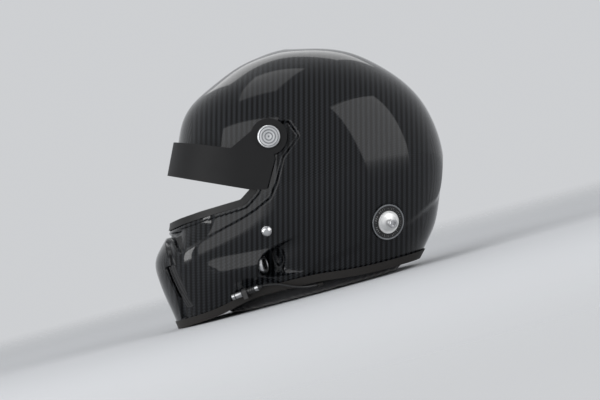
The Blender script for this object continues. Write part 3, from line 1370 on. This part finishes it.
@dataclass
class Pad:
    """A soft padded piece, blown up a little by a cloth simulation, with its seams drawn in afterwards.

    Args:
        node: the CAD node that it stands for.
        finish: its cover.
        voxel_mm: the size of its first mesh.
        inset_mm: how much smaller it starts.
        cap_mm: how far a point may swell.
        fill: from 0, slack, to 1, tight.
        sewing: where its seams run.
    """

    node: str
    finish: Finish
    voxel_mm: float = 4.0
    inset_mm: float = 0.8
    cap_mm: float = 1.2
    fill: float = 0.6
    sewing: Sewing = Sewing.NONE
    form: Optional[bpy.types.Object] = field(default=None, repr=False)
    start: Optional[Array] = field(default=None, repr=False)

    def prepare(self) -> None:
        """Remeshes a slightly smaller copy of the solid, and gives it cloth."""
        mesh = merged_copy(self.node)
        form = placed(f"{self.node}_slack", mesh)
        remesh = form.modifiers.new("remesh", "REMESH")
        remesh.mode = "VOXEL"
        remesh.voxel_size = self.voxel_mm * MM
        self._apply(form)
        points, normals = vertex_arrays(form.data)
        self.form, self.start = form, points - normals * self.inset_mm * MM
        move_points(form.data, self.start)
        cloth = form.modifiers.new("cloth", "CLOTH")
        cloth.settings.quality = 4
        cloth.settings.mass = 0.25
        cloth.settings.use_pressure = True
        cloth.settings.uniform_pressure_force = 4.0
        cloth.settings.effector_weights.gravity = 0.0
        cloth.collision_settings.use_collision = False
        cloth.point_cache.frame_start, cloth.point_cache.frame_end = 1, CLOTH_FRAMES

    def finish_up(self) -> bpy.types.Object:
        """Caps the swelling, subdivides the pad once, draws its seams in and makes it a piece."""
        form = self.form
        seen = form.evaluated_get(bpy.context.evaluated_depsgraph_get())
        swollen, _ = vertex_arrays(seen.data)
        form.modifiers.clear()
        move = swollen - self.start
        far = np.linalg.norm(move, axis=1, keepdims=True)
        move_points(form.data, self.start + move * np.minimum(1, self.cap_mm * MM / np.maximum(far, 1e-9)))
        finer = form.modifiers.new("finer", "SUBSURF")
        finer.levels = finer.render_levels = 1
        self._apply(form)
        points, normals = vertex_arrays(form.data)
        mesh = form.data
        move_points(mesh, points - normals * (Seams().depth(self.sewing, points / MM) * MM)[:, None])
        mesh.shade_smooth()
        bpy.data.objects.remove(form)
        piece = finished(mesh, f"{self.node}_pad", [self.finish], self.node)
        return piece

    @staticmethod
    def _apply(form: bpy.types.Object) -> None:
        """Makes the evaluated mesh the object's own, and clears its modifiers."""
        mesh = evaluated_mesh(form)
        form.modifiers.clear()
        form.data = mesh


class Upholstery:
    """All the padded pieces, swollen in one run of the simulation."""

    pads = (
        Pad("neck_roll", ROLL_KNIT, inset_mm=1.0, cap_mm=1.4, fill=0.8, sewing=Sewing.ROLL),
        Pad("comfort_liner", LINING, inset_mm=0.6, cap_mm=1.0, fill=0.6, sewing=Sewing.QUILTED),
        Pad("cheek_pad_left", LINING, inset_mm=1.2, cap_mm=2.0, fill=0.8, sewing=Sewing.EDGE),
        Pad("cheek_pad_right", LINING, inset_mm=1.2, cap_mm=2.0, fill=0.8, sewing=Sewing.EDGE),
        Pad("ear_cushion_left", OPEN_FOAM, voxel_mm=2.0, inset_mm=0.5, cap_mm=0.6, fill=0.5),
        Pad("ear_cushion_right", OPEN_FOAM, voxel_mm=2.0, inset_mm=0.5, cap_mm=0.6, fill=0.5),
        Pad("mic_foam", OPEN_FOAM, voxel_mm=1.5, inset_mm=0.3, cap_mm=0.4, fill=0.5),
    )

    def build(self) -> None:
        """Prepares every pad, runs the frames once and finishes each."""
        for pad in self.pads:
            pad.prepare()
        for step in range(1, CLOTH_FRAMES + 1):
            bpy.context.scene.frame_set(step)
        for pad in self.pads:
            pad.finish_up()
        bpy.context.scene.frame_set(1)


@dataclass(frozen=True)
class Ribbon:
    """A length of webbing, swept along a path across the helmet, with its map in metres.

    Args:
        path: (y, z) corners in millimetres.
        corner: the bends' radius.
        closed: whether it goes round to its start.
        width: its width, along X.
        thick: its thickness.
        middle_x: the X of its middle.
        side_share: the most that a bend takes of the sides next to it.
        step: the distance between its cross-sections.
        selvedge: the width of its thinner edges, and the share of the thickness that they have.
    """

    path: tuple
    corner: float
    closed: bool = False
    width: float = 22.0
    thick: float = 1.9
    middle_x: float = 17.4
    side_share: float = 0.48
    step: float = 3.0
    selvedge: tuple = (0.4, 0.8)

    def line(self) -> Array:
        """The path's points with its corners rounded."""
        corners = np.asarray(self.path, float)
        points: list[Array] = []
        for i, at in enumerate(corners):
            if not self.closed and i in (0, len(corners) - 1):
                points.append(at)
            else:
                points += bend(corners[i - 1], at, corners[(i + 1) % len(corners)], self.corner, 6, self.side_share)
        dense = [points[0]]
        chain = points[1:] + ([points[0]] if self.closed else [])
        for at in chain:
            parts = max(1, int(np.linalg.norm(at - dense[-1]) // self.step))
            start = dense[-1]
            dense += [start + (at - start) * k / parts for k in range(1, parts + 1)]
        return np.array(dense[:-1] if self.closed else dense)

    def mesh(self) -> tuple[list, list, list]:
        """The ribbon's points in millimetres, its faces, and the faces' map."""
        line = self.line()
        ahead = np.roll(line, -1, 0) - np.roll(line, 1, 0)
        if not self.closed:
            ahead[0], ahead[-1] = line[1] - line[0], line[-1] - line[-2]
        ahead /= np.linalg.norm(ahead, axis=1, keepdims=True)
        side = np.stack([-ahead[:, 1], ahead[:, 0]], 1)
        half, edge = self.width / 2, self.thick / 2
        inset, thin = self.selvedge
        top = [(-half + inset, thin), (-half / 2, 1.0), (0.0, 1.0), (half / 2, 1.0), (half - inset, thin)]
        ring = [(-half, 0.0), *top, (half, 0.0), *((x, -h) for x, h in reversed(top))]
        points, n = [], len(ring)
        for at, out in zip(line, side):
            points += [(self.middle_x + x, at[0] + out[0] * h * edge, at[1] + out[1] * h * edge) for x, h in ring]
        run = np.concatenate([[0], np.cumsum(np.linalg.norm(np.diff(line, axis=0), axis=1))])
        faces, places = [], []
        last = len(line) if self.closed else len(line) - 1
        for i in range(last):
            for k in range(n):
                a, b = i * n + k, i * n + (k + 1) % n
                c, d = ((i + 1) % len(line)) * n + (k + 1) % n, ((i + 1) % len(line)) * n + k
                faces.append((a, b, c, d))
                u0, u1 = ring[k][0], ring[(k + 1) % n][0]
                v0, v1 = run[i], run[i] + float(np.linalg.norm(line[(i + 1) % len(line)] - line[i]))
                places.append([(u0 * MM, v0 * MM), (u1 * MM, v0 * MM), (u1 * MM, v1 * MM), (u0 * MM, v1 * MM)])
        if not self.closed:
            for start in (0, (len(line) - 1) * n):
                faces.append(tuple(range(start, start + n)))
                places.append([(x * MM, 0.0) for x, _ in ring])
        return points, faces, places


@dataclass
class ChinStrap:
    """The chin strap's two halves: one looped round the rings, one drawn through them and folded back.

    Args:
        top_z: the height of its eyes.
        side_y: the side of its eyes.
        knees: the corners of its fall, as shares of side_y and top_z.
        ring_bars: the Y of the rings' two bars.
        loop_z: the height of the loop's middle.
        loop_half: half of the loop's width and height.
        loop_thick: the thickness of its webbing.
        low_z: the height of the right half under the rings.
        high_z: the height of its tail over them.
        turn_y: where it turns back.
        reach: how far from the ring it comes down.
        tail: the length of its tail.
        soft_bend: the radius of the left half's bends.
        loop_bend: the radius of the loop's bends.
        tight_bend: the radius of the right half's bends.
    """

    top_z: float = 39.61
    side_y: float = 79.5
    knees: tuple = ((1.00, 0.72), (0.76, 0.42), (0.62, 0.19))
    ring_bars: tuple = (-21.0, -3.0)
    loop_z: float = 6.85
    loop_half: tuple = (2.38, 4.03)
    loop_thick: float = 1.5
    low_z: float = 2.4
    high_z: float = 11.3
    turn_y: float = -5.8
    reach: float = 18.0
    tail: float = 44.0
    soft_bend: float = 9.0
    loop_bend: float = 2.3
    tight_bend: float = 2.2

    def fall(self, side: int) -> tuple:
        """The corners of one half from its eye downwards."""
        return ((side * self.side_y, self.top_z),
                *((side * y * self.side_y, z * self.top_z) for y, z in self.knees))

    def build(self) -> None:
        """Makes both halves."""
        bar = self.ring_bars[0]
        half_y, half_z = self.loop_half
        loop = tuple((bar + y * half_y, self.loop_z + z * half_z) for y, z in ((-1, -1), (1, -1), (1, 1), (-1, 1)))
        left = [Ribbon((*self.fall(-1), (bar - 2 * self.loop_thick, self.loop_z)), self.soft_bend),
                Ribbon(loop, self.loop_bend, closed=True, thick=self.loop_thick)]
        right = [Ribbon((*self.fall(1), (self.ring_bars[1] + self.reach, self.low_z), (self.turn_y, self.low_z),
                         (self.turn_y, self.high_z), (self.turn_y + self.tail, self.high_z)), self.tight_bend)]
        for name, ribbons in (("chin_strap_left", left), ("chin_strap_right", right)):
            self._sew(name, ribbons)

    @staticmethod
    def _sew(name: str, ribbons: list[Ribbon]) -> None:
        """Joins ribbons into one piece with their map."""
        points, faces, places = [], [], []
        for ribbon in ribbons:
            own_points, own_faces, own_places = ribbon.mesh()
            start = len(points)
            points += own_points
            faces += [tuple(start + v for v in f) for f in own_faces]
            places += own_places
        mesh = mesh_of(name, points, faces)
        layer = mesh.uv_layers.new(name="UVMap")
        layer.data.foreach_set("uv", [c for face in places for uv in face for c in uv])
        outward(mesh, WOVEN_SHARP_DEG)
        finished(mesh, f"{name}_webbing", [WEBBING], name)


@dataclass
class Anchors:
    """The head-restraint anchors' black discs, with a silver rim and a ring of white ticks. Sizes in millimetres."""

    rim_radius: float = 18.0
    tick_radius: float = 15.3
    tick_half: float = 0.8
    tick_rise: float = 0.05
    disc_top: float = -10.35
    edge: float = 0.15
    tick_count: int = 40
    tick_gap: int = 5
    tick_size: Point = (0.5, 0.32, 0.1)
    tick_step: float = 0.45

    def build(self, row: Row) -> None:
        """Makes the discs with two finishes, and lays their ticks; every tick_gap-th place is bare."""
        mesh = merged_copy("anchor_discs")
        places = [(Vector(middle) * MM, Vector(axis)) for middle, axis in map(mount_line, ANCHOR_MOUNTS)]
        for face in mesh.polygons:
            centre, axis = min(places, key=lambda p: (p[0] - face.center).length)
            away = [mesh.vertices[v].co - centre for v in face.vertices]
            radius = min((a - axis * a.dot(axis)).length for a in away)
            face.material_index = int(radius > self.rim_radius * MM)
        discs = finished(mesh, "anchor_discs_piece", [BLACK_ANODISED, GREY_ALUMINIUM], "anchor_discs")
        break_edges(discs, self.edge)
        lines = []
        for centre, axis in places:
            right = axis.cross(Vector((0, 0, 1))).normalized()
            up = right.cross(axis)
            top = centre / MM + axis * (self.disc_top + self.tick_rise)
            for k in range(self.tick_count):
                if k % self.tick_gap == 0:
                    continue
                angle = 2 * math.pi * k / self.tick_count
                out = right * math.cos(angle) + up * math.sin(angle)
                lines.append([top + out * (self.tick_radius + end * self.tick_half) for end in (-1, 1)])
        row.lay("anchor_ticks", lines, self.tick_step, self.tick_size, TICK_WHITE, "anchor_discs")


@dataclass(frozen=True)
class ChinVents:
    """The vent grilles, narrowed to the chin's channels and set down to their floor.

    Args:
        inner_y: the side of a grille that stays in its place.
        narrow: the share of its width that is left.
        sink: how far it is set down.
        middle: the X and Z at which it looks square out.
        edge: the width of its broken edges.
    """

    inner_y: float = 52.5
    narrow: float = 0.62
    sink: float = 3.3
    middle: tuple = (-150.0, 46.0)
    edge: float = 0.25

    def build(self) -> None:
        """Makes each grille of its solid."""
        for node, side in (("chin_vent_left", -1), ("chin_vent_right", 1)):
            mesh = merged_copy(node)
            place = vertex_arrays(mesh)[0] / MM
            across = self.inner_y + (np.abs(place[:, 1]) - self.inner_y) * self.narrow
            place[:, 0] += FORM.face_x(across, place[:, 2]) - FORM.face_x(place[:, 1], place[:, 2])
            place[:, 1] = side * across
            place -= np.array(FORM.surface(*self.middle, side)[1]) * self.sink
            move_points(mesh, place * MM)
            break_edges(finished(mesh, f"{node}_grille", [GLOSS_BLACK], node), self.edge)


class Fittings:
    """The rigid pieces: those in view with broken edges, the hidden ones with their finish alone."""

    machined = (
        Machined("peak", PEAK_ABS, 0.5),
        Machined("latch_studs", POLISHED, 0.3), Machined("anchor_washers", BLASTED, 0.2),
        Machined("anchor_posts", POLISHED, 0.25), Machined("port_poppet", POLISHED, 0.2),
        Machined("strap_rings", POLISHED, 0.7), Machined("strap_eyes", ZINC, 0.3),
        Machined("lead_clip", MATT_BLACK, 0.2),
        Machined("ear_cup_left", MATT_BLACK, 0.4), Machined("ear_cup_right", MATT_BLACK, 0.4),
        Machined("crown_liner", BEAD_FOAM, 0.8), Machined("chin_liner", BEAD_FOAM, 0.8),
    )
    plain = (
        (RUBBER, ("base_trim", "lead_gland")), (SOFT_RUBBER, ("eye_port_trim",)), (MOULDED, ("lead_boot",)),
        (NYLON, ("pivot_bushes",)), (BEAD_FOAM, ("side_liner_left", "side_liner_right")),
        (MATT_BLACK, ("speaker_left", "speaker_right", "microphone")),
        (ZINC, ("pivot_nuts", "latch_nuts", "anchor_plates", "port_nut", "strap_hanger_left", "strap_hanger_right",
                "hanger_nuts")),
    )

    def build(self) -> None:
        """Gives each piece its finish."""
        for piece in self.machined:
            piece.build()
        for finish, nodes in self.plain:
            for node in nodes:
                repainted(node, finish)


def main() -> None:
    """Builds the scene and every piece, and reports them."""
    logging.basicConfig(level=logging.INFO, format="%(message)s")
    Studio().build()
    RadioLead().build()
    row = Row()
    shell = OuterShell()
    shell.build()
    PortSocket().build(shell.port_seat, shell.port_axis)
    ValveSpring().build(shell.port_seat, shell.port_axis)
    Fittings().build()
    PivotScrews().build()
    Anchors().build(row)
    ChinVents().build()
    ChinStrap().build()
    Upholstery().build()


if __name__ == "__main__":
    main()
